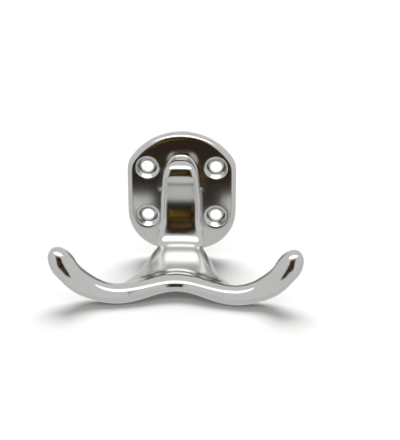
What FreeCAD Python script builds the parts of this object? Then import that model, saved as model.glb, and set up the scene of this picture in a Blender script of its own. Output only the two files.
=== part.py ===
"""Double robe hook: one casting with a screw plate, a swan neck and two upturned arms.

Millimetres.  The origin is the centre of the screws on the plate's back, which lies on the wall at y = 0.
The hook reaches out from the wall along -Y, X runs across it and +Z is up.
"""
import FreeCAD, Part
import math
import os
import Sketcher
from FreeCAD import Vector

NODE = "double_hook"

# Driving dimensions: alias, value, meaning.
SIZES = (
    ("hook_width", 95.6, "hook across both tips"),
    ("plate_width", 44.4, "plate across its straight sides"),
    ("plate_height", 51.2, "plate from its lowest to its highest point"),
    ("plate_drop", 26.2, "centre of the screws to the plate's lowest point"),
    ("plate_top_arc", 25.2, "radius of the plate's top edge in front view"),
    ("plate_top_corner", 8.4, "radius that joins the top edge to the straight sides"),
    ("plate_low_arc", 32.0, "radius of the plate's bottom edge in front view"),
    ("plate_low_corner", 16.6, "radius that joins the bottom edge to the straight sides"),
    ("plate_thickness", 4.5, "plate from back to front"),
    ("plate_rim", 2.2, "round-over of the plate's front edge"),
    ("screw_bore", 4.8, "screw hole"),
    ("screw_sink", 9.0, "countersink at the plate's face"),
    ("screw_sink_angle", 90.0, "included angle of the countersink"),
    ("screws_across", 28.0, "screw spacing across the plate"),
    ("screws_up", 20.8, "screw spacing up the plate"),
    ("neck_width", 16.0, "neck across its straight sides"),
    ("neck_flat", 3.0, "level stretch in the middle of the neck's arched top"),
    ("neck_top", 15.5, "height of the neck's top above the plate's centre"),
    ("neck_reach", 15.0, "wall to the neck's front face"),
    ("neck_depth", 7.2, "neck from front to back"),
    ("neck_shoulder", 6.5, "radius of the shoulder in side view"),
    ("neck_tuck", 5.0, "lean of the neck's front, back towards the wall, degrees"),
    ("neck_root", 14.0, "height of the neck where it leaves the plate"),
    ("neck_edge", 1.5, "round-over of the upper edges of neck and shelf"),
    ("neck_back_edge", 1.0, "round-over of the lower edges of neck and shelf"),
    ("sweep_radius", 29.0, "radius of the neck's long bend forward"),
    ("sweep_turn", 23.0, "how far that bend leans forward at its end, degrees"),
    ("foot_radius", 7.5, "inside radius of the bend that follows, down to the shelf"),
    ("belly_radius", 13.0, "outside radius of the bend from neck to shelf"),
    ("shelf_slope", 12.0, "fall of the shelf towards its front, degrees"),
    ("shelf_thickness", 3.6, "shelf from top to bottom"),
    ("shelf_step", 1.7, "shelf's top below the crossbar's top, half way across"),
    ("web_start", 17.2, "wall to where the neck's sides start to spread"),
    ("web_upper_radius", 5.0, "plan radius of the spreading side next to the neck"),
    ("web_upper_turn", 18.9, "angle of that arc, degrees"),
    ("web_lower_radius", 10.3, "plan radius of the spreading side next to the arm"),
    ("web_lower_turn", 27.7, "angle of that arc, degrees"),
    ("bar_back", 7.4, "crossbar's axis behind the arms' lowest points, half way across"),
    ("bar_depth", 9.6, "crossbar from front to back, half way across"),
    ("bar_thickness", 6.2, "crossbar from top to bottom, half way across"),
    ("bar_lift", 2.2, "crossbar's axis above the arms' lowest axis, half way across"),
    ("bar_blend", 2.4, "fillet between shelf and crossbar"),
    ("arm_drop", 3.0, "arms' lowest point below the plate's lowest point"),
    ("arm_reach", 49.0, "wall to the arm's axis where it is lowest"),
    ("arm_diameter", 7.5, "arm at its lowest point"),
    ("arm_bend", 22.7, "radius of the arm's upward bend"),
    ("arm_turn", 62.9, "angle of that bend, degrees"),
    ("arm_lean", 10.0, "forward lean of that bend, degrees"),
    ("tip_diameter", 9.9, "arm at the start of its tip"),
    ("tip_length", 8.6, "height of the tip's dome"),
)

# Places that follow from the sizes.
BAR_REACH = "(Sizes.arm_reach - Sizes.bar_back)"
ARM_AXIS = "(Sizes.arm_diameter / 2 - Sizes.plate_drop - Sizes.arm_drop)"
BAR_AXIS = f"({ARM_AXIS} + Sizes.bar_lift)"
SHELF_TOP = f"({BAR_AXIS} + Sizes.bar_thickness / 2 - Sizes.shelf_step)"

# Middle to the arm's lowest point: what the bend and the tip's dome leave of half the hook's width.
TIP_ALONG, TIP_ASIDE = "Sizes.tip_length * cos(Sizes.arm_turn)", "Sizes.tip_diameter / 2 * sin(Sizes.arm_turn)"
TIP_OUT = f"sqrt(({TIP_ALONG})^2 + ({TIP_ASIDE})^2)"
ARM_OUT = f"(Sizes.hook_width / 2 - Sizes.arm_bend * sin(Sizes.arm_turn) - {TIP_OUT})"

# The shelf's nose ends inside the arms, a little in front of their axis, and its webs a little behind it.
NOSE = "(Sizes.arm_reach + Sizes.arm_diameter / 4)"
WEB_END = (f"{ARM_OUT} + Sizes.arm_diameter * 3 / 8", "Sizes.arm_reach - Sizes.arm_diameter / 4")

# Fillet between neck and plate, as a share of the gap between them.
ROOT_BLEND = 0.4

# Sections of the arm's upward bend: share of its turn, and share of its swelling towards the tip.
BEND_STATIONS = ((0, 0), (1 / 3, 0.26), (2 / 3, 0.74), (1, 1))

# Rotation that lays a sketch's own X along +Y and its own Y along +Z, facing +X.
FACE_ACROSS = "rotation(vector(1; 1; 1); 120)"

# The same turned over, so that a section's seam runs along the front of the arms.
FACE_OUT = f"rotation(vector(1; 0; 0); 180) * {FACE_ACROSS}"


def make_sheet(doc):
    """Return the spreadsheet that holds every driving dimension under its own alias."""
    sheet = doc.addObject("Spreadsheet::Sheet", "Sizes")
    for row, (alias, value, meaning) in enumerate(SIZES, start=1):
        sheet.set(f"A{row}", meaning)
        sheet.set(f"B{row}", str(value))
        sheet.setAlias(f"B{row}", alias)
    doc.recompute()
    return sheet


class Outline:
    """A closed sketch outline, drawn piece by piece with a pen and then held by constraints."""

    def __init__(self, sketch, start, heading=0):
        self.sketch = sketch
        self.pieces = []
        self.place = start
        self.heading = heading

    def turn(self, angle):
        """Turn the pen to the left by an angle in degrees, leaving a corner."""
        self.heading += angle

    def to(self, place):
        """Draw a line to a place and return its number."""
        line = Part.LineSegment(Vector(*self.place, 0), Vector(*place, 0))
        number = self.sketch.addGeometry(line, False)
        self.pieces.append((number, 1, 2))
        self.place = place
        return number

    def ahead(self, length):
        """Draw a line straight ahead and return its number."""
        angle = math.radians(self.heading)
        return self.to((self.place[0] + length * math.cos(angle), self.place[1] + length * math.sin(angle)))

    def bend(self, radius, angle):
        """Draw an arc that turns to the left by an angle, or to the right if it is negative."""
        side = 1 if angle > 0 else -1
        start = math.radians(self.heading - side * 90)
        end = start + math.radians(angle)
        centre = (self.place[0] - radius * math.cos(start), self.place[1] - radius * math.sin(start))
        circle = Part.Circle(Vector(*centre, 0), Vector(0, 0, 1), radius)
        arc = Part.ArcOfCircle(circle, min(start, end), max(start, end))
        number = self.sketch.addGeometry(arc, False)
        self.pieces.append((number, 1, 2) if side > 0 else (number, 2, 1))
        self.place = (centre[0] + radius * math.cos(end), centre[1] + radius * math.sin(end))
        self.heading += angle
        return number

    def close(self, smooth):
        """Join each piece to the next, tangent where the first piece's number is in smooth."""
        following = self.pieces[1:] + self.pieces[:1]
        for (first, _, end), (second, start, _) in zip(self.pieces, following):
            kind = "Tangent" if first in smooth else "Coincident"
            self.sketch.addConstraint(Sketcher.Constraint(kind, first, end, second, start))

    def hold(self, kind, *pieces):
        """Give each piece a constraint without a size, such as Horizontal."""
        for piece in pieces:
            self.sketch.addConstraint(Sketcher.Constraint(kind, piece))

    def size(self, expression, kind, *references):
        """Add a sized constraint that follows an expression of the sheet."""
        number = self.sketch.addConstraint(Sketcher.Constraint(kind, *references))
        self.sketch.setExpression(f"Constraints[{number}]", expression)

    def offset(self, expression, kind, side, piece, point, value):
        """Size the distance of a point from the origin, on the positive or negative side of it."""
        origin, place = (-1, 1), (piece, point)
        ends = origin + place if side > 0 else place + origin
        self.size(expression, kind, *ends, value)


def plane_of(body, role):
    """Return the origin plane of a body that has the given role."""
    return next(plane for plane in body.Origin.OriginFeatures if plane.Role == role)


def sketch_on(body, name, role):
    """Return a new sketch on one of the body's origin planes."""
    sketch = body.newObject("Sketcher::SketchObject", name)
    sketch.AttachmentSupport = [(plane_of(body, role), "")]
    sketch.MapMode = "FlatFace"
    return sketch


def corner_of(half_width, reach, arc, corner):
    """Return the height and the turn of the corner that joins a straight side to an arched end."""
    rise = math.sqrt((arc - corner) ** 2 - (half_width - corner) ** 2)
    return reach - arc + rise, math.degrees(math.atan2(rise, half_width - corner))


def draw_plate(sketch, sheet):
    """Draw the plate's front view: straight sides, an arched top and bottom and rounded corners."""
    half_width, drop = sheet.plate_width / 2, sheet.plate_drop
    rise = sheet.plate_height - drop
    top_arc, top_corner = sheet.plate_top_arc, sheet.plate_top_corner
    low_arc, low_corner = sheet.plate_low_arc, sheet.plate_low_corner
    top_level, top_turn = corner_of(half_width, rise, top_arc, top_corner)
    low_level, low_turn = corner_of(half_width, drop, low_arc, low_corner)

    outline = Outline(sketch, (half_width, -low_level), heading=90)
    right = outline.ahead(low_level + top_level)
    top_corners = [outline.bend(top_corner, top_turn)]
    top = outline.bend(top_arc, 180 - 2 * top_turn)
    top_corners.append(outline.bend(top_corner, top_turn))
    left = outline.ahead(low_level + top_level)
    low_corners = [outline.bend(low_corner, low_turn)]
    bottom = outline.bend(low_arc, 180 - 2 * low_turn)
    low_corners.append(outline.bend(low_corner, low_turn))

    outline.close(smooth={right, left, top, bottom, *top_corners, *low_corners})
    outline.hold("Vertical", right, left)
    outline.offset("Sizes.plate_width / 2", "DistanceX", 1, right, 1, half_width)
    outline.offset("Sizes.plate_width / 2", "DistanceX", -1, left, 1, half_width)
    for piece in top_corners:
        outline.size("Sizes.plate_top_corner", "Radius", piece, top_corner)
    for piece in low_corners:
        outline.size("Sizes.plate_low_corner", "Radius", piece, low_corner)
    outline.size("Sizes.plate_top_arc", "Radius", top, top_arc)
    outline.size("Sizes.plate_low_arc", "Radius", bottom, low_arc)
    for piece in (top, bottom):
        sketch.addConstraint(Sketcher.Constraint("PointOnObject", piece, 3, -2))
    top_centre = "Sizes.plate_height - Sizes.plate_drop - Sizes.plate_top_arc"
    outline.offset(top_centre, "DistanceY", 1, top, 3, rise - top_arc)
    low_centre = "Sizes.plate_low_arc - Sizes.plate_drop"
    outline.offset(low_centre, "DistanceY", 1, bottom, 3, low_arc - drop)


def draw_screws(sketch, sheet):
    """Draw the circles that place the four screw holes."""
    outline = Outline(sketch, (0, 0))
    for across in (-1, 1):
        for up in (-1, 1):
            place = Vector(across * sheet.screws_across / 2, up * sheet.screws_up / 2, 0)
            number = sketch.addGeometry(Part.Circle(place, Vector(0, 0, 1), sheet.screw_bore / 2), False)
            outline.size("Sizes.screw_bore", "Diameter", number, sheet.screw_bore)
            outline.offset("Sizes.screws_across / 2", "DistanceX", across, number, 3, abs(place.x))
            outline.offset("Sizes.screws_up / 2", "DistanceY", up, number, 3, abs(place.y))


def make_plate(doc, sheet):
    """Return the body of the plate, with its rounded front edge and countersunk screw holes."""
    body = doc.addObject("PartDesign::Body", "Plate")
    outline = sketch_on(body, "PlateOutline", "XZ_Plane")
    draw_plate(outline, sheet)
    pad = body.newObject("PartDesign::Pad", "PlatePad")
    pad.Profile = outline
    pad.setExpression("Length", "Sizes.plate_thickness")
    doc.recompute()

    rim = body.newObject("PartDesign::Fillet", "PlateRim")
    front = -sheet.plate_thickness
    rim.Base = (pad, edge_names(pad.Shape, lambda edge, faces: is_flat_at(edge, front)))
    rim.setExpression("Radius", "Sizes.plate_rim")
    doc.recompute()

    screws = sketch_on(body, "ScrewPlaces", "XZ_Plane")
    screws.setExpression("AttachmentOffset.Base.z", "Sizes.plate_thickness")
    draw_screws(screws, sheet)
    doc.recompute()
    hole = body.newObject("PartDesign::Hole", "ScrewHoles")
    hole.Profile = screws
    hole.Threaded = False
    hole.DepthType = "ThroughAll"
    hole.HoleCutType = "Countersink"
    hole.HoleCutCustomValues = True
    hole.setExpression("Diameter", "Sizes.screw_bore")
    hole.setExpression("HoleCutDiameter", "Sizes.screw_sink")
    hole.setExpression("HoleCutCountersinkAngle", "Sizes.screw_sink_angle")
    doc.recompute()
    return body


def is_flat_at(edge, depth):
    """Return whether the whole edge lies in the plane y = depth."""
    return abs(edge.BoundBox.YMin - depth) < 1e-4 and abs(edge.BoundBox.YMax - depth) < 1e-4


def edges_where(shape, test):
    """Return the numbers of the edges for which test(edge, its faces) is true."""
    found = []
    for number, edge in enumerate(shape.Edges, start=1):
        if test(edge, shape.ancestorsOfType(edge, Part.Face)):
            found.append(number)
    return found


def edge_names(shape, test):
    """Return the names of those edges."""
    return [f"Edge{number}" for number in edges_where(shape, test)]


def shelf_top(sheet):
    """Return the height of the shelf's top where it meets the crossbar, half way across."""
    arm_axis = sheet.arm_diameter / 2 - sheet.plate_drop - sheet.arm_drop
    return arm_axis + sheet.bar_lift + sheet.bar_thickness / 2 - sheet.shelf_step


def arm_out(sheet):
    """Return how far the arm's lowest point is from the middle."""
    turn = math.radians(sheet.arm_turn)
    tip_out = math.hypot(sheet.tip_length * math.cos(turn), sheet.tip_diameter / 2 * math.sin(turn))
    return sheet.hook_width / 2 - sheet.arm_bend * math.sin(turn) - tip_out


def swing(radius, start, end):
    """Return how far a pen moves on an arc to the right, between two headings in degrees."""
    start, end = math.radians(start), math.radians(end)
    return radius * (math.sin(start) - math.sin(end)), radius * (math.cos(end) - math.cos(start))


def draw_side(sketch, sheet):
    """Draw the side view of neck and shelf, with the sketch's X along +Y and its Y along +Z."""
    inside = -sheet.plate_thickness / 2
    face = -sheet.neck_reach
    back = face + sheet.neck_depth
    shoulder, sweep = sheet.neck_shoulder, sheet.sweep_radius
    foot, belly = sheet.foot_radius, sheet.belly_radius
    slot = -sheet.plate_thickness - back
    root_low = sheet.neck_top - sheet.neck_root
    tuck, slope = math.radians(sheet.neck_tuck), math.radians(sheet.shelf_slope)
    end = -sheet.arm_reach - sheet.arm_diameter / 4
    end_top = shelf_top(sheet) + math.tan(slope) * (end + sheet.arm_reach - sheet.bar_back)
    end_low = end_top - sheet.shelf_thickness / math.cos(slope)
    belly_end = back - belly + belly * math.sin(slope)

    down, forward, outward = 270 + sheet.neck_tuck, 270 - sheet.sweep_turn, 180 + sheet.shelf_slope
    long_bend, short_bend = swing(sweep, down, forward), swing(foot, forward, outward)
    depth = face + shoulder * (1 - math.cos(tuck)) + long_bend[0] + short_bend[0]
    height = sheet.neck_top - shoulder * (1 + math.sin(tuck)) + long_bend[1] + short_bend[1]
    fall = height - end_top - math.tan(slope) * (depth - end)
    front_length = fall / (math.cos(tuck) + math.tan(slope) * math.sin(tuck))

    outline = Outline(sketch, (inside, sheet.neck_top), heading=180)
    top = outline.to((face + shoulder, sheet.neck_top))
    bend = outline.bend(shoulder, 90 + sheet.neck_tuck)
    front = outline.ahead(front_length)
    hollow = outline.bend(sweep, forward - down)
    instep = outline.bend(foot, outward - forward)
    shelf = outline.to((end, end_top))
    nose = outline.to((end, end_low))
    under = outline.to((belly_end, end_low + math.tan(slope) * (belly_end - end)))
    outline.turn(180)
    bulge = outline.bend(belly, 90 - sheet.shelf_slope)
    rear = outline.to((back, root_low - slot))
    notch = outline.bend(slot, -90)
    root = outline.to((inside, root_low))
    seat = outline.to((inside, sheet.neck_top))

    outline.close(smooth={top, bend, front, hollow, instep, under, bulge, rear, notch})
    outline.hold("Horizontal", top, root)
    outline.hold("Vertical", nose, rear, seat)
    sketch.addConstraint(Sketcher.Constraint("Parallel", shelf, under))
    outline.offset("Sizes.plate_thickness / 2", "DistanceX", -1, seat, 1, -inside)
    outline.offset("Sizes.neck_top", "DistanceY", 1, top, 1, sheet.neck_top)
    outline.size("Sizes.neck_shoulder", "Radius", bend, shoulder)
    outline.offset("Sizes.neck_reach - Sizes.neck_shoulder", "DistanceX", -1, bend, 3, -face - shoulder)
    outline.size("90 + Sizes.neck_tuck", "Angle", bend, math.radians(90) + tuck)
    outline.size("Sizes.sweep_radius", "Radius", hollow, sweep)
    outline.size("Sizes.neck_tuck + Sizes.sweep_turn", "Angle", hollow, math.radians(down - forward))
    outline.size("Sizes.foot_radius", "Radius", instep, foot)
    outline.offset(NOSE, "DistanceX", -1, nose, 1, -end)
    drop = f"tan(Sizes.shelf_slope) * ({NOSE} - {BAR_REACH})"
    outline.offset(f"{drop} - {SHELF_TOP}", "DistanceY", -1, shelf, 2, -end_top)
    outline.size("Sizes.shelf_slope", "Angle", under, slope)
    rise = "Sizes.shelf_thickness / cos(Sizes.shelf_slope)"
    outline.size(rise, "DistanceY", nose, 2, nose, 1, end_top - end_low)
    outline.size("Sizes.belly_radius", "Radius", bulge, belly)
    outline.offset("Sizes.neck_reach - Sizes.neck_depth", "DistanceX", -1, rear, 1, -back)
    outline.size("Sizes.neck_root", "DistanceY", seat, 1, seat, 2, sheet.neck_root)
    outline.offset("Sizes.plate_thickness", "DistanceX", -1, root, 1, sheet.plate_thickness)


def cross(first, second):
    """Return the cross product of two flat vectors."""
    return first[0] * second[1] - first[1] * second[0]


def aim(heading):
    """Return the flat vector of length 1 that points along a heading in degrees."""
    return math.cos(math.radians(heading)), math.sin(math.radians(heading))


def draw_plan(sketch, sheet):
    """Draw the right half of the plan view: a straight side that spreads in two arcs to the arm."""
    inside, half_width = -sheet.plate_thickness / 2, sheet.neck_width / 2
    bar_reach = sheet.arm_reach - sheet.bar_back
    end = (
        arm_out(sheet) + sheet.arm_diameter * 3 / 8,
        -sheet.arm_reach + sheet.arm_diameter / 4,
    )
    upper_radius, lower_radius = sheet.web_upper_radius, sheet.web_lower_radius
    spread = -90 + sheet.web_upper_turn
    outward = spread + sheet.web_lower_turn
    upper_bend, lower_bend = swing(-upper_radius, -90, spread), swing(-lower_radius, spread, outward)
    rest = (
        end[0] - half_width - upper_bend[0] - lower_bend[0],
        end[1] + sheet.web_start - upper_bend[1] - lower_bend[1],
    )
    run_length = cross(rest, aim(outward)) / cross(aim(spread), aim(outward))

    outline = Outline(sketch, (0, inside))
    seat = outline.ahead(half_width)
    outline.turn(-90)
    side = outline.ahead(sheet.web_start + inside)
    upper = outline.bend(upper_radius, sheet.web_upper_turn)
    run = outline.ahead(run_length)
    lower = outline.bend(lower_radius, sheet.web_lower_turn)
    tail = outline.to(end)
    arm = outline.to((arm_out(sheet), -sheet.arm_reach))
    bar = outline.to((0, -bar_reach))
    middle = outline.to((0, inside))

    outline.close(smooth={side, upper, run, lower})
    outline.hold("Horizontal", seat)
    outline.hold("Vertical", side, middle)
    sketch.addConstraint(Sketcher.Constraint("PointOnObject", seat, 1, -2))
    outline.offset("Sizes.plate_thickness / 2", "DistanceY", -1, seat, 1, -inside)
    outline.offset("Sizes.neck_width / 2", "DistanceX", 1, side, 1, half_width)
    outline.offset("Sizes.web_start", "DistanceY", -1, side, 2, sheet.web_start)
    outline.size("Sizes.web_upper_radius", "Radius", upper, upper_radius)
    outline.size("Sizes.web_upper_turn", "Angle", upper, math.radians(sheet.web_upper_turn))
    outline.size("Sizes.web_lower_radius", "Radius", lower, lower_radius)
    outline.size("Sizes.web_lower_turn", "Angle", lower, math.radians(sheet.web_lower_turn))
    outline.offset(WEB_END[0], "DistanceX", 1, tail, 2, end[0])
    outline.offset(WEB_END[1], "DistanceY", -1, tail, 2, -end[1])
    outline.offset(ARM_OUT, "DistanceX", 1, arm, 2, arm_out(sheet))
    outline.offset("Sizes.arm_reach", "DistanceY", -1, arm, 2, sheet.arm_reach)
    outline.offset(BAR_REACH, "DistanceY", -1, bar, 2, bar_reach)


def draw_front(sketch, sheet):
    """Draw the right half of the front view: an arched top that ends level with the straight sides."""
    arch = (sheet.neck_width - sheet.neck_flat) / 2
    wide, low = 2 * sheet.plate_width, -sheet.plate_height

    outline = Outline(sketch, (0, sheet.neck_top))
    top = outline.ahead(sheet.neck_flat / 2)
    corner = outline.bend(arch, -90)
    step = outline.to((wide, sheet.neck_top - arch))
    outer = outline.to((wide, low))
    base = outline.to((0, low))
    middle = outline.to((0, sheet.neck_top))

    outline.close(smooth={top})
    outline.hold("Horizontal", top, step, base)
    outline.hold("Vertical", outer, middle)
    sketch.addConstraint(Sketcher.Constraint("PointOnObject", top, 1, -2))
    outline.offset("Sizes.neck_top", "DistanceY", 1, top, 1, sheet.neck_top)
    outline.size("(Sizes.neck_width - Sizes.neck_flat) / 2", "Radius", corner, arch)
    outline.size("90", "Angle", corner, math.radians(90))
    outline.offset("Sizes.neck_flat / 2", "DistanceX", 1, corner, 3, sheet.neck_flat / 2)
    outline.offset("2 * Sizes.plate_width", "DistanceX", 1, outer, 1, wide)
    outline.offset("Sizes.plate_height", "DistanceY", -1, base, 1, -low)


def extrude(doc, sketch, name, length):
    """Return a solid that reaches half the length to each side of the sketch."""
    solid = doc.addObject("Part::Extrusion", name)
    solid.Base = sketch
    solid.DirMode = "Normal"
    solid.Solid = True
    solid.Symmetric = True
    solid.setExpression("LengthFwd", length)
    return solid


def is_rim(edge, faces, upper):
    """Return whether an edge of the neck joins a side wall to an upper, or else a lower, face."""
    middle = edge.valueAt((edge.FirstParameter + edge.LastParameter) / 2)
    normals = [face.normalAt(*face.Surface.parameter(middle)) for face in faces]
    if len(normals) != 2:
        return False
    wall, rounded = sorted(normals, key=lambda normal: -abs(normal.x))
    if abs(wall.x) < 0.3 or abs(rounded.x) > 1e-6:
        return False
    return (rounded.z - rounded.y > 0) == upper


def both_sides(doc, half, name):
    """Return a solid joined to its mirror image across the middle."""
    other = doc.addObject("Part::Mirroring", f"{name}Mirror")
    other.Source = half
    other.Normal = Vector(1, 0, 0)
    whole = doc.addObject("Part::Fuse", name)
    whole.Base = half
    whole.Tool = other
    whole.Refine = True
    return whole


def make_neck(doc, sheet):
    """Return the neck and shelf: what its side, plan and front views share, with rounded edges."""
    side = doc.addObject("Sketcher::SketchObject", "SideView")
    side.setExpression("Placement", f"placement(vector(0; 0; 0); {FACE_ACROSS})")
    draw_side(side, sheet)
    plan = doc.addObject("Sketcher::SketchObject", "PlanView")
    draw_plan(plan, sheet)
    front = doc.addObject("Sketcher::SketchObject", "FrontView")
    front.setExpression("Placement", "placement(vector(0; 0; 0); rotation(vector(1; 0; 0); 90))")
    draw_front(front, sheet)

    common = doc.addObject("Part::MultiCommon", "NeckBlank")
    common.Shapes = [
        extrude(doc, side, "SideSolid", "4 * Sizes.plate_width"),
        both_sides(doc, extrude(doc, plan, "PlanHalf", "4 * Sizes.plate_height"), "PlanSolid"),
        both_sides(doc, extrude(doc, front, "FrontHalf", "4 * Sizes.arm_reach"), "FrontSolid"),
    ]
    common.Refine = True
    doc.recompute()

    neck = doc.addObject("Part::Fillet", "Neck")
    neck.Base = common
    upper = edges_where(common.Shape, lambda edge, faces: is_rim(edge, faces, upper=True))
    lower = edges_where(common.Shape, lambda edge, faces: is_rim(edge, faces, upper=False))
    neck.Edges = [(number, sheet.neck_edge, sheet.neck_edge) for number in upper]
    neck.Edges += [(number, sheet.neck_back_edge, sheet.neck_back_edge) for number in lower]
    doc.recompute()
    return neck


def make_section(doc, name, place, turn, depth, height):
    """Return an elliptical section of the arms, facing along the crossbar and turned up by an angle."""
    section = doc.addObject("Part::Ellipse", name)
    section.setExpression("MajorRadius", f"({depth}) / 2")
    section.setExpression("MinorRadius", f"({height}) / 2")
    section.setExpression("Placement", stand(place, turn))
    return section


def stand(place, turn):
    """Return the placement expression of a section at a place, turned about Y and leant forward."""
    lean = "rotation(vector(1; 0; 0); Sizes.arm_lean)"
    upward = f"rotation(vector(0; 1; 0); -({turn}))"
    return f"placement(vector({'; '.join(place)}); {lean} * {upward} * {FACE_OUT})"


def bend_place(side, turn):
    """Return where the arm's axis is after the given turn of its upward bend."""
    climb = f"Sizes.arm_bend * (1 - cos({turn}))"
    return (
        f"{side} * ({ARM_OUT} + Sizes.arm_bend * sin({turn}))",
        f"-Sizes.arm_reach - {climb} * sin(Sizes.arm_lean)",
        f"{ARM_AXIS} + {climb} * cos(Sizes.arm_lean)",
    )


def make_arms(doc):
    """Return both arms and the crossbar between them as one rounded bar with domed tips."""
    middle = ("0", f"-{BAR_REACH}", BAR_AXIS)
    sections = [make_section(doc, "BarMiddle", middle, "0", "Sizes.bar_depth", "Sizes.bar_thickness")]
    domes = []
    for side, label in ((1, "Right"), (-1, "Left")):
        half_way = (
            f"{side} * {ARM_OUT} / 2",
            f"-({BAR_REACH} + Sizes.arm_reach) / 2",
            f"({ARM_AXIS} + {BAR_AXIS}) / 2",
        )
        depth = "(Sizes.bar_depth + Sizes.arm_diameter) / 2"
        height = "(Sizes.bar_thickness + Sizes.arm_diameter) / 2"
        arm = [make_section(doc, f"{label}Bar", half_way, "0", depth, height)]
        for number, (share, swell) in enumerate(BEND_STATIONS):
            turn = f"Sizes.arm_turn * {share}"
            width = f"Sizes.arm_diameter + (Sizes.tip_diameter - Sizes.arm_diameter) * {swell}"
            place = bend_place(side, turn)
            arm.append(make_section(doc, f"{label}Bend{number}", place, f"{side} * {turn}", width, width))
        sections = sections + arm if side > 0 else arm[::-1] + sections
        domes.append(make_dome(doc, f"{label}Dome", side))

    bar = doc.addObject("Part::Loft", "Bar")
    bar.Sections = sections
    bar.Solid = True
    arms = doc.addObject("Part::MultiFuse", "Arms")
    arms.Shapes = [bar] + domes
    doc.recompute()
    return arms


def make_dome(doc, name, side):
    """Return the half ellipsoid that closes an arm's tip."""
    dome = doc.addObject("Part::Ellipsoid", name)
    dome.Angle1 = 0
    dome.setExpression("Radius1", "Sizes.tip_length")
    dome.setExpression("Radius2", "Sizes.tip_diameter / 2")
    dome.setExpression("Radius3", "Sizes.tip_diameter / 2")
    outward = "Sizes.arm_turn" if side > 0 else "180 - Sizes.arm_turn"
    dome.setExpression("Placement", stand(bend_place(side, "Sizes.arm_turn"), outward))
    return dome


def lies_on(edge, shape):
    """Return whether the middle of an edge lies on a shape's surface."""
    middle = edge.valueAt((edge.FirstParameter + edge.LastParameter) / 2)
    return shape.Shells[0].distToShape(Part.Vertex(middle))[0] < 1e-3


def make_casting(doc, sheet):
    """Return the whole hook, with fillets where the neck meets the plate and the crossbar."""
    plate = make_plate(doc, sheet)
    neck = make_neck(doc, sheet)
    arms = make_arms(doc)
    blank = doc.addObject("Part::MultiFuse", "Blank")
    blank.Shapes = [plate, neck, arms]
    doc.recompute()

    front = -sheet.plate_thickness
    root_blend = ROOT_BLEND * (sheet.neck_reach - sheet.neck_depth - sheet.plate_thickness)
    roots = edges_where(
        blank.Shape, lambda edge, faces: is_flat_at(edge, front) and lies_on(edge, neck.Shape)
    )
    seams = edges_where(
        blank.Shape, lambda edge, faces: lies_on(edge, neck.Shape) and lies_on(edge, arms.Shape)
    )
    casting = doc.addObject("Part::Fillet", "Casting")
    casting.Label = NODE
    casting.Base = blank
    casting.Edges = [(number, root_blend, root_blend) for number in roots]
    casting.Edges += [(number, sheet.bar_blend, sheet.bar_blend) for number in seams]
    doc.recompute()
    return casting


def check(doc, parts):
    """Stop if any object of the document failed, or a sub-part isn't one valid solid."""
    for item in doc.Objects:
        if {"Invalid", "Error"} & set(item.State):
            raise RuntimeError(f"{item.Label} failed: {item.State}")
    for part in parts:
        if part.Shape.isNull() or not part.Shape.isValid() or len(part.Shape.Solids) != 1:
            raise RuntimeError(f"{part.Label} isn't one valid solid")


def main():
    """Build the hook and write its STEP file."""
    doc = FreeCAD.newDocument("DoubleRobeHook")
    sheet = make_sheet(doc)
    parts = [make_casting(doc, sheet)]
    check(doc, parts)
    os.makedirs("parts", exist_ok=True)
    for part in parts:
        part.Shape.exportStep(os.path.join("parts", f"{part.Label}.step"))
        box = part.Shape.BoundBox
        extent = f"{box.XLength:.1f} x {box.YLength:.1f} x {box.ZLength:.1f} mm"
        print(part.Label, f"{part.Shape.Volume:.0f} mm3", extent)


main()
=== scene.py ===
"""Double robe hook in satin chrome: the casting's polished surface, its finish and a plain photo stage."""
import logging
import math
from collections.abc import Callable
from dataclasses import dataclass
from enum import Enum
from typing import Any

import bpy
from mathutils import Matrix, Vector


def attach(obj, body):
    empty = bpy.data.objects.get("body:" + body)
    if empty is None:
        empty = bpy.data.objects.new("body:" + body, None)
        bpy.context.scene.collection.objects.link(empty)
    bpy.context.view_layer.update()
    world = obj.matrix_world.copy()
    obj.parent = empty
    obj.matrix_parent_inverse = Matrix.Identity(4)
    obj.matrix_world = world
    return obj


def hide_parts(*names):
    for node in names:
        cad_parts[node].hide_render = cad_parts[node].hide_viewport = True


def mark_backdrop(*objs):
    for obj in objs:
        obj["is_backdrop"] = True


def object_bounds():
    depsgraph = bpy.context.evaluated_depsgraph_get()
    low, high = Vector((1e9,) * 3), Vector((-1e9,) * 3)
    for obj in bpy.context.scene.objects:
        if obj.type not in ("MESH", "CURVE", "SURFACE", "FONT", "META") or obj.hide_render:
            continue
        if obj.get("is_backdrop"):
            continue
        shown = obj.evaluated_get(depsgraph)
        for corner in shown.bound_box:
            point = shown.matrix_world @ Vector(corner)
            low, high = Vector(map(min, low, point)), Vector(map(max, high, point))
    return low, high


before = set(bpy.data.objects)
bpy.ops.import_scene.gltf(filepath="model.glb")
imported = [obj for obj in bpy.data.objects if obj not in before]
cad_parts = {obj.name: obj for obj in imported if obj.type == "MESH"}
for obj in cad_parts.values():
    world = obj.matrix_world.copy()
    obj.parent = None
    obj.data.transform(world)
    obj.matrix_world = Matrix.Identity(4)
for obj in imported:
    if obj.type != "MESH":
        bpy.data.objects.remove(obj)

LOG = logging.getLogger("double_robe_hook")
MM = 0.001
WHITE = 1.0
# Sockets of a colour Mix node, by number because their names repeat.
MIX_AMOUNT, MIX_UNDER, MIX_OVER, MIX_RESULT = 0, 6, 7, 2

Colour = tuple[float, float, float, float]
Limits = tuple[float, float]
Socket = bpy.types.NodeSocket


class Slot(Enum):
    """Material slots of the record."""

    CASTING = "satin_chrome"


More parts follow.
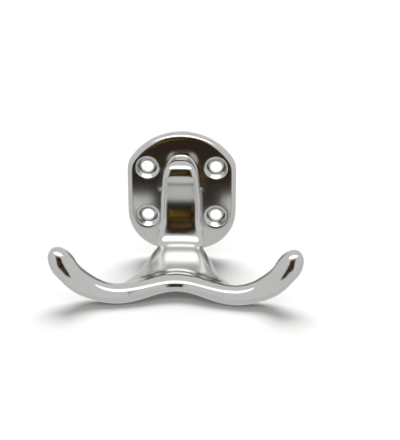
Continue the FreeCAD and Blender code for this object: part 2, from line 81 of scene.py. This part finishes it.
def linear(hex_colour: str) -> Colour:
    """Turn an sRGB hex colour into linear RGBA.

    Args:
        hex_colour: Six hex digits with a leading hash.

    Returns:
        The colour as Blender's shaders take it.
    """
    channels = [int(hex_colour[place:place + 2], 16) / 255 for place in (1, 3, 5)]
    red, green, blue = (c / 12.92 if c <= 0.04045 else ((c + 0.055) / 1.055) ** 2.4 for c in channels)
    return red, green, blue, 1.0


def grey(level: float) -> Colour:
    """Return a linear grey of a given strength."""
    return level, level, level, 1.0


def share(value: float) -> float:
    """Return a value limited to between 0 and 1."""
    return min(max(value, 0.0), 1.0)


def add_node(tree: bpy.types.NodeTree, kind: str, links: dict[str | int, Socket] | None = None,
             values: dict[str | int, Any] | None = None, **settings: Any) -> bpy.types.Node:
    """Add a node with its settings, socket values and incoming links.

    Args:
        tree: Node tree that gets the node.
        kind: The node's type name.
        links: Output socket to link, by input name or number.
        values: Value to set, by input name or number.
        **settings: Attributes of the node itself.

    Returns:
        The new node.
    """
    node = tree.nodes.new(kind)
    for name, value in settings.items():
        setattr(node, name, value)
    for name, value in (values or {}).items():
        node.inputs[name].default_value = value
    for name, socket in (links or {}).items():
        tree.links.new(socket, node.inputs[name])
    return node


def soft_step(tree: bpy.types.NodeTree, value: Socket, limits: Limits) -> Socket:
    """Return a soft step from 0 at the first limit to 1 at the second."""
    start, full = limits
    step = add_node(tree, "ShaderNodeMapRange", {"Value": value}, {"From Min": start, "From Max": full},
                    interpolation_type="SMOOTHSTEP")
    return step.outputs["Result"]


def product(tree: bpy.types.NodeTree, first: Socket, *others: Socket) -> Socket:
    """Return the product of two or more values."""
    for other in others:
        first = add_node(tree, "ShaderNodeMath", {0: first, 1: other}, operation="MULTIPLY").outputs["Value"]
    return first


def lay_over(tree: bpy.types.NodeTree, amount: Socket, under: Socket | Colour, colour: Colour) -> Socket:
    """Lay a colour over another one.

    Args:
        tree: Node tree that gets the mix.
        amount: How much of the upper colour shows.
        under: The lower colour, constant or from another node.
        colour: The upper colour.

    Returns:
        The mixed colour.
    """
    links, values = {MIX_AMOUNT: amount}, {MIX_OVER: colour}
    lower = links if isinstance(under, Socket) else values
    lower[MIX_UNDER] = under
    return add_node(tree, "ShaderNodeMix", links, values, data_type="RGBA").outputs[MIX_RESULT]


def new_material(name: str) -> tuple[bpy.types.Material, bpy.types.NodeTree]:
    """Make an empty node material.

    Args:
        name: The material's name.

    Returns:
        The material and its node tree.
    """
    material = bpy.data.materials.new(name)
    material.use_nodes = True
    material.node_tree.nodes.clear()
    return material, material.node_tree


def select_only(piece: bpy.types.Object) -> None:
    """Deselect everything and make one object the selected, active one."""
    bpy.ops.object.select_all(action="DESELECT")
    piece.select_set(True)
    bpy.context.view_layer.objects.active = piece


def apply_modifier(piece: bpy.types.Object, kind: str, **settings: Any) -> None:
    """Add a modifier with its settings and apply it.

    Args:
        piece: Object that is changed.
        kind: The modifier's type name.
        **settings: Attributes of the modifier.
    """
    select_only(piece)
    modifier = piece.modifiers.new(kind.title(), kind)
    for name, value in settings.items():
        setattr(modifier, name, value)
    bpy.ops.object.modifier_apply(modifier=modifier.name)


def add_plane(name: str, place_mm: Vector, size_mm: Limits, material: bpy.types.Material,
              tilt_deg: float = 0.0) -> bpy.types.Object:
    """Add a flat rectangle.

    Args:
        name: The object's name.
        place_mm: Its middle.
        size_mm: Its width and its length.
        material: Its material.
        tilt_deg: Its turn about X; it lies flat at 0.

    Returns:
        The rectangle.
    """
    bpy.ops.object.select_all(action="DESELECT")
    bpy.ops.mesh.primitive_plane_add(size=1, location=place_mm * MM, rotation=(math.radians(tilt_deg), 0, 0))
    plane = bpy.context.active_object
    plane.name = name
    plane.scale = (size_mm[0] * MM, size_mm[1] * MM, 1)
    plane.data.materials.append(material)
    return plane


@dataclass(frozen=True)
class SatinChrome:
    """Chrome plate over a buffed zinc casting.

    It gives the eye a neutral grey mirror whose reflections are soft at the edges, slightly wavy from the
    buffing wheel and finely speckled by the casting's grain.
    """

    colour: str = "#cdcdcb"
    roughness: float = 0.16
    wave_width_mm: float = 6.0
    wave_height_mm: float = 0.01
    wave_detail: float = 1.0
    # The real grain is finer than a pixel, so it is drawn coarse enough to break the reflections a little.
    grain_width_mm: float = 0.35
    grain_height_mm: float = 0.0006
    grain_detail: float = 2.0

    def material(self) -> bpy.types.Material:
        """Build the material.

        Returns:
            A metal with buffing waves and a fine grain in its bump.
        """
        material, tree = new_material("Satin chrome plate on a buffed zinc casting")
        place = add_node(tree, "ShaderNodeTexCoord").outputs["Object"]
        waves = add_node(tree, "ShaderNodeTexNoise", {"Vector": place},
                         {"Scale": 1 / (self.wave_width_mm * MM), "Detail": self.wave_detail})
        grain = add_node(tree, "ShaderNodeTexNoise", {"Vector": place},
                         {"Scale": 1 / (self.grain_width_mm * MM), "Detail": self.grain_detail})
        swell = add_node(tree, "ShaderNodeBump", {"Height": waves.outputs["Fac"]},
                         {"Strength": 1.0, "Distance": self.wave_height_mm * MM})
        speckle = add_node(tree, "ShaderNodeBump",
                           {"Height": grain.outputs["Fac"], "Normal": swell.outputs["Normal"]},
                           {"Strength": 1.0, "Distance": self.grain_height_mm * MM})
        metal = add_node(tree, "ShaderNodeBsdfPrincipled", {"Normal": speckle.outputs["Normal"]},
                         {"Base Color": linear(self.colour), "Metallic": 1.0, "Roughness": self.roughness})
        add_node(tree, "ShaderNodeOutputMaterial", {"Surface": metal.outputs["BSDF"]})
        return material


@dataclass
class HookCasting:
    """The hook's one casting: the CAD solid with its surface evened out as buffing leaves it.

    Depths are measured from the wall towards the viewer, heights from the middle of the screw holes.
    """

    node: str = "double_hook"
    finish: SatinChrome = SatinChrome()
    # The even mesh.
    merge_mm: float = 0.001
    cell_mm: float = 0.37
    even_passes: int = 13
    even_factor: float = 0.5
    # The buffing, which leaves the plate out.
    buff_passes: int = 150
    buff_swell_mm: float = 0.25
    plate_clear_mm: float = 6.0
    fade_mm: float = 5.0
    # The webs' free edges: below the top, behind the front and off the middle.
    web_push_mm: float = 2.2
    web_top_mm: float = -11.0
    web_front_mm: float = 44.0
    web_middle_mm: float = 5.0
    # The neck's shoulder, by depth and height.
    shoulder_mm: tuple[float, float] = (13.2, 13.5)
    shoulder_reach_mm: float = 6.8
    shoulder_swell_mm: float = 1.35
    # The neck's width at its top and at its root on the plate, clear of the countersinks and the rim.
    top_narrowing: float = 0.2
    top_height_mm: float = 15.0
    root_narrowing: float = 0.17
    root_end_mm: float = 11.0
    rim_start_mm: float = 21.0
    sink_start_mm: float = 9.5
    sink_clear_mm: float = 0.9

    def build(self) -> bpy.types.Object:
        """Copy the CAD node, give it an even mesh and buff its edges.

        Returns:
            The finished casting.
        """
        piece = self.copy_solid()
        apply_modifier(piece, "REMESH", mode="VOXEL", voxel_size=self.cell_mm * MM, adaptivity=0.0)
        apply_modifier(piece, "SMOOTH", factor=self.even_factor, iterations=self.even_passes)
        self.draw_in_neck(piece)
        self.swell(piece, self.web_push_mm, self.group(piece, "Web edges", self.web_weight))
        buffed = self.group(piece, "Buffed", self.buffed_weight)
        apply_modifier(piece, "SMOOTH", factor=self.even_factor, iterations=self.buff_passes,
                       vertex_group=buffed)
        self.swell(piece, self.buff_swell_mm, buffed)
        self.swell(piece, self.shoulder_swell_mm, self.group(piece, "Shoulder", self.shoulder_weight))
        piece.vertex_groups.clear()
        # The back stays on the wall.
        for vertex in piece.data.vertices:
            vertex.co.y = min(vertex.co.y, 0.0)
        select_only(piece)
        bpy.ops.object.shade_smooth()
        return piece

    def copy_solid(self) -> bpy.types.Object:
        """Copy the CAD node's mesh and join its faces' edges.

        Returns:
            The copy.
        """
        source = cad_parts[self.node]
        piece = bpy.data.objects.new("hook_casting", source.data.copy())
        bpy.context.collection.objects.link(piece)
        select_only(piece)
        bpy.ops.object.mode_set(mode="EDIT")
        bpy.ops.mesh.select_all(action="SELECT")
        bpy.ops.mesh.remove_doubles(threshold=self.merge_mm * MM)
        bpy.ops.object.mode_set(mode="OBJECT")
        return piece

    def draw_in_neck(self, piece: bpy.types.Object) -> None:
        """Draw the neck in towards its top and at its root, where the photo shows it narrower than its foot.

        Args:
            piece: The casting.
        """
        for vertex in piece.data.vertices:
            aside, depth, height = self.place_mm(vertex)
            lift = share(height / self.top_height_mm)
            root = share((self.root_end_mm - depth) / self.fade_mm) * share(1 + height / self.fade_mm)
            off_sinks = share((self.sink_start_mm - aside) / self.sink_clear_mm)
            off_rim = share((self.rim_start_mm - height) / self.fade_mm)
            drawn = self.top_narrowing * lift + self.root_narrowing * root
            vertex.co.x *= 1 - drawn * off_sinks * off_rim

    def group(self, piece: bpy.types.Object, name: str,
              weigh: Callable[[bpy.types.MeshVertex], float]) -> str:
        """Make a vertex group from a weight for each vertex.

        Args:
            piece: The casting.
            name: The group's name.
            weigh: Gives a vertex's weight, from 0 to 1.

        Returns:
            The group's name.
        """
        group = piece.vertex_groups.new(name=name)
        for vertex in piece.data.vertices:
            weight = weigh(vertex)
            if weight > 0:
                group.add([vertex.index], weight, "REPLACE")
        return name

    def swell(self, piece: bpy.types.Object, amount_mm: float, group: str) -> None:
        """Move a group's vertices out along their normals.

        Args:
            piece: The casting.
            amount_mm: How far a vertex with full weight moves.
            group: The vertex group's name.
        """
        apply_modifier(piece, "DISPLACE", strength=amount_mm * MM, mid_level=0.0, vertex_group=group)

    def place_mm(self, vertex: bpy.types.MeshVertex) -> tuple[float, float, float]:
        """Return a vertex's distance from the middle, its depth and its height."""
        return abs(vertex.co.x) / MM, -vertex.co.y / MM, vertex.co.z / MM

    def buffed_weight(self, vertex: bpy.types.MeshVertex) -> float:
        """Return how strongly a vertex is buffed: fully, but for the plate."""
        return share((self.place_mm(vertex)[1] - self.plate_clear_mm) / self.fade_mm)

    def shoulder_weight(self, vertex: bpy.types.MeshVertex) -> float:
        """Return how strongly a vertex on the neck's shoulder is moved out, to make its curve tighter."""
        _, depth, height = self.place_mm(vertex)
        away = math.dist((depth, height), self.shoulder_mm) / self.shoulder_reach_mm
        return share(1 - away ** 2) ** 3 * (1 - vertex.normal.x ** 2)

    def web_weight(self, vertex: bpy.types.MeshVertex) -> float:
        """Return how strongly a vertex on the webs' edges is moved out, since the buffing draws it in."""
        aside, depth, height = self.place_mm(vertex)
        inside = min(self.web_top_mm - height, self.web_front_mm - depth, aside - self.web_middle_mm,
                     depth - self.plate_clear_mm)
        return share(inside / self.fade_mm) * (1 - vertex.normal.z ** 2)

    def dress(self, piece: bpy.types.Object) -> None:
        """Give the casting its finish and let it stand for the CAD node.

        Args:
            piece: The casting.
        """
        piece.data.materials.clear()
        piece.data.materials.append(self.finish.material())
        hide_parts(self.node)
        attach(piece, "root")


@dataclass
class PhotoCamera:
    """A camera at the photograph's viewing angle, placed by the plate's face."""

    elevation_deg: float = 19.0
    azimuth_deg: float = 3.0
    distance_mm: float = 450.0
    near_clip_mm: float = 10.0
    scale_px_per_mm: float = 2.444
    face_mm: tuple[float, float, float] = (0.0, -4.5, 0.0)
    face_px: tuple[float, float] = (181.8, 192.7)
    frame_px: tuple[int, int] = (400, 440)
    sensor_mm: float = 36.0

    def build(self) -> bpy.types.Object:
        """Place the camera so that the face's centre lands on its pixel.

        Returns:
            The scene's camera.
        """
        elevation, azimuth = math.radians(self.elevation_deg), math.radians(self.azimuth_deg)
        back = Vector((
            math.sin(azimuth) * math.cos(elevation),
            -math.cos(azimuth) * math.cos(elevation),
            math.sin(elevation),
        ))
        face = Vector(self.face_mm) * MM
        place = face + back * self.distance_mm * MM
        right = Vector((0, 0, 1)).cross(back).normalized()
        up = back.cross(right)
        across = (self.frame_px[0] / 2 - self.face_px[0]) / self.scale_px_per_mm * MM
        down = (self.frame_px[1] / 2 - self.face_px[1]) / self.scale_px_per_mm * MM
        aim = face + right * across - up * down

        data = bpy.data.cameras.new("Photo camera")
        data.sensor_fit = "AUTO"
        data.sensor_width = self.sensor_mm
        data.lens = self.sensor_mm * self.scale_px_per_mm * self.distance_mm / max(self.frame_px)
        data.clip_start = self.near_clip_mm * MM
        camera = bpy.data.objects.new("Photo camera", data)
        bpy.context.collection.objects.link(camera)
        camera.location = place
        camera.rotation_euler = (aim - place).to_track_quat("-Z", "Y").to_euler()
        bpy.context.scene.camera = camera
        return camera


@dataclass(frozen=True)
class RoomPatch:
    """A soft-edged patch of the room, by the parts of a direction of length 1.

    Each pair says where an edge starts and where the patch is full.
    """

    aside: Limits
    bottom: Limits
    top: Limits


@dataclass(frozen=True)
class PhotoRoom:
    """The room that the metal mirrors: grey, with a dark opening in front and a bright strip above it."""

    level: float = 0.8
    front: Limits = (-0.2, -0.4)
    opening: RoomPatch = RoomPatch(aside=(0.42, 0.28), bottom=(-0.47, -0.4), top=(0.6, 0.5))
    opening_colour: str = "#1a1006"
    glint_colour: str = "#a37c35"
    glint_scale: float = 7.0
    glint_detail: float = 3.0
    glint_limits: Limits = (0.56, 0.68)
    strip: RoomPatch = RoomPatch(aside=(0.7, 0.55), bottom=(0.68, 0.72), top=(0.985, 0.97))
    strip_level: float = 3.0

    def build(self) -> None:
        """Paint the room by direction; the camera itself sees plain white."""
        world = bpy.data.worlds.new("Photo room")
        bpy.context.scene.world = world
        world.use_nodes = True
        tree = world.node_tree
        tree.nodes.clear()
        direction = add_node(tree, "ShaderNodeTexCoord").outputs["Generated"]
        opening = self.patch(tree, direction, self.opening)
        strip = self.patch(tree, direction, self.strip)
        noise = add_node(tree, "ShaderNodeTexNoise", {"Vector": direction},
                         {"Scale": self.glint_scale, "Detail": self.glint_detail})
        glints = product(tree, opening, soft_step(tree, noise.outputs["Fac"], self.glint_limits))
        seen = add_node(tree, "ShaderNodeLightPath").outputs["Is Camera Ray"]
        colour = lay_over(tree, opening, grey(self.level), linear(self.opening_colour))
        colour = lay_over(tree, glints, colour, linear(self.glint_colour))
        colour = lay_over(tree, strip, colour, grey(self.strip_level))
        colour = lay_over(tree, seen, colour, grey(WHITE))
        sky = add_node(tree, "ShaderNodeBackground", {"Color": colour})
        add_node(tree, "ShaderNodeOutputWorld", {"Surface": sky.outputs["Background"]})

    def patch(self, tree: bpy.types.NodeTree, direction: Socket, patch: RoomPatch) -> Socket:
        """Mark one patch in front of the hook.

        Args:
            tree: The world's node tree.
            direction: The direction that is looked in.
            patch: The patch's edges.

        Returns:
            How much of the patch is seen, from 0 to 1.
        """
        parts = add_node(tree, "ShaderNodeSeparateXYZ", {"Vector": direction})
        across, depth, height = (parts.outputs[axis] for axis in "XYZ")
        aside = add_node(tree, "ShaderNodeMath", {0: across}, operation="ABSOLUTE").outputs["Value"]
        return product(tree, soft_step(tree, depth, self.front), soft_step(tree, aside, patch.aside),
                       soft_step(tree, height, patch.bottom), soft_step(tree, height, patch.top))


@dataclass
class Stage:
    """A pale table under one soft overhead lamp, in a room that the metal mirrors."""

    table_level_mm: float
    table_edge_mm: float = -66.0
    table_size_mm: float = 3000.0
    table_colour: str = "#a5a5a4"
    # Strength of the even grey glow that the metal sees in place of the table: a painted reflection.
    table_reflection_glow: float = 0.74
    lamp_strength: float = 6.8
    lamp_softness_deg: float = 44.0
    lamp_height_deg: float = 57.0
    # Low glowing cards seen only in the metal's reflections: a painted reflection over the dark opening.
    card_place_mm: tuple[float, float, float] = (78.5, -57.0, -24.2)
    card_size_mm: tuple[float, float] = (125.0, 9.5)
    room: PhotoRoom = PhotoRoom()

    def build(self) -> list[bpy.types.Object]:
        """Make the table, the lamp, the cards and the room.

        Returns:
            The stage's objects.
        """
        top = self.table_material()
        behind = self.table("Table behind", self.table_edge_mm, self.table_size_mm, top)
        front = self.table("Table in front", -self.table_size_mm, self.table_edge_mm, top)
        # The metal mirrors the room in front, not the table there.
        front.visible_glossy = False
        glow = self.card_material()
        cards = [self.card("Left card", -1, glow), self.card("Right card", 1, glow)]
        self.room.build()
        objects = [behind, front, self.lamp(), *cards]
        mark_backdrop(*objects)
        return objects

    def table(self, name: str, near: float, far: float, material: bpy.types.Material) -> bpy.types.Object:
        """Make one stretch of the table top.

        Args:
            name: The object's name.
            near: Its edge with the lower Y, in millimetres.
            far: Its other edge.
            material: The table's material.

        Returns:
            The flat top.
        """
        middle = Vector((0, (near + far) / 2, self.table_level_mm))
        return add_plane(name, middle, (2 * self.table_size_mm, far - near), material)

    def table_material(self) -> bpy.types.Material:
        """Build the matt table top; the metal mirrors it as an even light grey glow, a painted reflection.

        Returns:
            The material.
        """
        material, tree = new_material("Matt white laminate table")
        white = add_node(tree, "ShaderNodeBsdfDiffuse", values={"Color": linear(self.table_colour)})
        # Painted reflection: glossy rays see an even grey glow instead of the lit, shaded table.
        mirrored = add_node(tree, "ShaderNodeEmission", values={"Strength": self.table_reflection_glow})
        path = add_node(tree, "ShaderNodeLightPath")
        shown = add_node(tree, "ShaderNodeMixShader",
                         {0: path.outputs["Is Glossy Ray"], 1: white.outputs["BSDF"],
                          2: mirrored.outputs["Emission"]})
        add_node(tree, "ShaderNodeOutputMaterial", {"Surface": shown.outputs["Shader"]})
        return material

    def lamp(self) -> bpy.types.Object:
        """Make the large, soft lamp above and behind the hook.

        Returns:
            The lamp, which isn't mirrored.
        """
        data = bpy.data.lights.new("Overhead lamp", "SUN")
        data.energy = self.lamp_strength
        data.angle = math.radians(self.lamp_softness_deg)
        lamp = bpy.data.objects.new("Overhead lamp", data)
        bpy.context.collection.objects.link(lamp)
        height = math.radians(self.lamp_height_deg)
        source = Vector((0, math.cos(height), math.sin(height)))
        lamp.location = source
        lamp.rotation_euler = (-source).to_track_quat("-Z", "Y").to_euler()
        lamp.visible_glossy = lamp.visible_camera = False
        return lamp

    def card_material(self) -> bpy.types.Material:
        """Build the cards' even grey glow, a painted reflection which hides the dark opening from the arms.

        Returns:
            The material.
        """
        material, tree = new_material("Grey glowing card for painted reflections")
        # Painted reflection: the cards glow though they are no lamp.
        glow = add_node(tree, "ShaderNodeEmission", values={"Strength": self.room.level})
        add_node(tree, "ShaderNodeOutputMaterial", {"Surface": glow.outputs["Emission"]})
        return material

    def card(self, name: str, side: int, material: bpy.types.Material) -> bpy.types.Object:
        """Make a low, upright glowing card that only the metal mirrors, a painted reflection.

        Args:
            name: The object's name.
            side: -1 for the left arm's, 1 for the right arm's.
            material: The cards' material.

        Returns:
            The card.
        """
        out, depth, height = self.card_place_mm
        place = Vector((side * out, depth, height))
        card = add_plane(name, place, self.card_size_mm, material, tilt_deg=90.0)
        card.visible_camera = card.visible_diffuse = card.visible_shadow = False
        return card


def main() -> None:
    logging.basicConfig(level=logging.INFO, format="%(name)s: %(message)s")
    cad_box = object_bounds()
    bpy.context.scene.view_settings.view_transform = "Standard"

    casting = HookCasting()
    piece = casting.build()
    casting.dress(piece)
    LOG.info("%s: %d faces", piece.name, len(piece.data.polygons))

    camera = PhotoCamera().build()
    LOG.info("%s: %.1f mm lens", camera.name, camera.data.lens)

    stage = Stage(table_level_mm=cad_box[0].z / MM)
    LOG.info("stage: %s", ", ".join(item.name for item in stage.build()))


if __name__ == "__main__":
    main()
